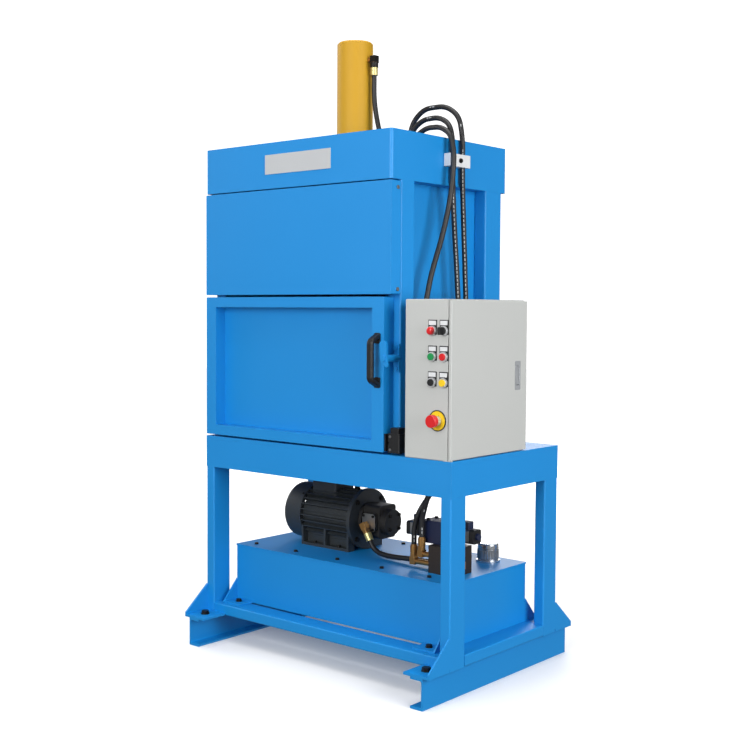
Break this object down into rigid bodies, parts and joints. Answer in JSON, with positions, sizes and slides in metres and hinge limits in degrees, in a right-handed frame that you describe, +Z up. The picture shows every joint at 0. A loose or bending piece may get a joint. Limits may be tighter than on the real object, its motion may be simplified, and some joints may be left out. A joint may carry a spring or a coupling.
{
  "type": "paint bucket flattening machine",
  "caption": "Upright hydraulic press on a welded stand that flattens paint buckets behind a hinged door, with its power unit below and a control cabinet at the side.",
  "frame": {"origin": "middle of the bounding box on the floor", "axes": "+Z up, +X towards the control cabinet, -Y out of the door's front"},
  "size_m": [1.14, 0.83, 2.177],
  "materials": {
    "blue_paint": "gloss",
    "yellow_paint": "gloss",
    "cabinet_paint": "satin",
    "dark_steel": "satin",
    "hard_chrome": "polished",
    "bare_steel": "brushed",
    "black_plastic": "matte",
    "lock_chrome": "polished",
    "gear_plastic": "matte",
    "collar_chrome": "satin",
    "red_plastic": "gloss",
    "green_plastic": "gloss",
    "yellow_plastic": "gloss",
    "motor_paint": "satin",
    "pump_iron": "satin",
    "valve_paint": "satin",
    "fitting_brass": "satin",
    "breather_chrome": "polished",
    "clamp_plastic": "matte",
    "hose_rubber": "matte"
  },
  "bodies": {
    "frame": {"back_wall": "blue_paint", "base_rails_cross": "blue_paint", "base_rails_side": "blue_paint", "button_collars": "collar_chrome", "cabinet_body": "cabinet_paint", "column_front_left": "blue_paint", "column_front_right": "blue_paint", "column_rear_left": "blue_paint", "column_rear_right": "blue_paint", "control_plate": "gear_plastic", "crown": "blue_paint", "cylinder_barrel": "yellow_paint", "cylinder_gland": "dark_steel", "cylinder_hose": "hose_rubber", "directional_valve": "valve_paint", "door_hinge_brackets": "blue_paint", "feed_hoses": "hose_rubber", "filler_breather": "breather_chrome", "hose_clamp": "clamp_plastic", "hose_fittings": "fitting_brass", "interlock_switch": "black_plastic", "latch_bracket": "blue_paint", "leg_front_left": "blue_paint", "leg_front_right": "blue_paint", "leg_rear_left": "blue_paint", "leg_rear_right": "blue_paint", "manifold": "dark_steel", "motor_fan_cover": "motor_paint", "motor_frame": "motor_paint", "oil_tank": "blue_paint", "pilot_lamp": "red_plastic", "pump": "pump_iron", "pump_hose": "hose_rubber", "side_walls": "blue_paint", "skid_left": "blue_paint", "skid_right": "blue_paint", "table_beams_long": "blue_paint", "table_beams_side": "blue_paint", "table_plate": "blue_paint", "tank_lid": "blue_paint", "upper_cover": "blue_paint"},
    "ram": {"piston_rod": "hard_chrome", "platen": "bare_steel"},
    "door": {"door_frame": "blue_paint", "door_panel": "blue_paint", "door_handle": "black_plastic", "door_hinge_knuckles": "blue_paint", "interlock_key": "black_plastic"},
    "latch": {"latch_lever": "blue_paint"},
    "cabinet_leaf": {"cabinet_door": "cabinet_paint", "cabinet_lock": "lock_chrome"},
    "lock": {"lock_lever": "lock_chrome"},
    "button_green": {"green_button": "green_plastic"},
    "button_red": {"red_button": "red_plastic"},
    "button_black": {"black_button": "black_plastic"},
    "button_yellow": {"yellow_button": "yellow_plastic"},
    "selector": {"selector_knob": "black_plastic"},
    "estop": {"estop_button": "red_plastic"},
    "rotor": {"motor_rotor": "bare_steel"},
    "cap": {"breather_cap": "breather_chrome"}
  },
  "joints": [
    {"name": "ram_slide", "type": "slide", "parent": "frame", "child": "ram", "axis": [0, 0, 1], "range_m": [-0.45, 0]},
    {"name": "door_hinge", "type": "hinge", "parent": "frame", "child": "door", "pos_m": [-0.561, -0.28525, 1], "axis": [0, 0, -1], "range_deg": [0, 110]},
    {"name": "latch_turn", "type": "hinge", "parent": "frame", "child": "latch", "pos_m": [0.316, -0.33, 1.066], "axis": [0, -1, 0], "range_deg": [0, 75]},
    {"name": "cabinet_hinge", "type": "hinge", "parent": "frame", "child": "cabinet_leaf", "pos_m": [0.563, -0.305, 1], "axis": [0, 0, -1], "range_deg": [0, 110]},
    {"name": "lock_turn", "type": "hinge", "parent": "cabinet_leaf", "child": "lock", "pos_m": [0.5645, 0.056, 0.978], "axis": [0, 1, 0], "range_deg": [0, 60]},
    {"name": "green_press", "type": "slide", "parent": "frame", "child": "button_green", "axis": [0, 1, 0], "range_m": [0, 0.004], "stiffness_N_per_m": 300, "springref_m": -0.004},
    {"name": "red_press", "type": "slide", "parent": "frame", "child": "button_red", "axis": [0, 1, 0], "range_m": [0, 0.004], "stiffness_N_per_m": 300, "springref_m": -0.004},
    {"name": "black_press", "type": "slide", "parent": "frame", "child": "button_black", "axis": [0, 1, 0], "range_m": [0, 0.004], "stiffness_N_per_m": 300, "springref_m": -0.004},
    {"name": "yellow_press", "type": "slide", "parent": "frame", "child": "button_yellow", "axis": [0, 1, 0], "range_m": [0, 0.004], "stiffness_N_per_m": 300, "springref_m": -0.004},
    {"name": "selector_turn", "type": "hinge", "parent": "frame", "child": "selector", "pos_m": [0.539, -0.32, 1.157], "axis": [0, -1, 0], "range_deg": [0, 90]},
    {"name": "estop_press", "type": "slide", "parent": "frame", "child": "estop", "axis": [0, 1, 0], "range_m": [0, 0.006]},
    {"name": "motor_spin", "type": "hinge", "parent": "frame", "child": "rotor", "pos_m": [-0.187, 0.035, 0.459], "axis": [1, 0, 0], "continuous": true},
    {"name": "cap_turn", "type": "hinge", "parent": "frame", "child": "cap", "pos_m": [0.387, 0.158, 0.38], "axis": [0, 0, 1], "range_deg": [0, 90]}
  ]
}
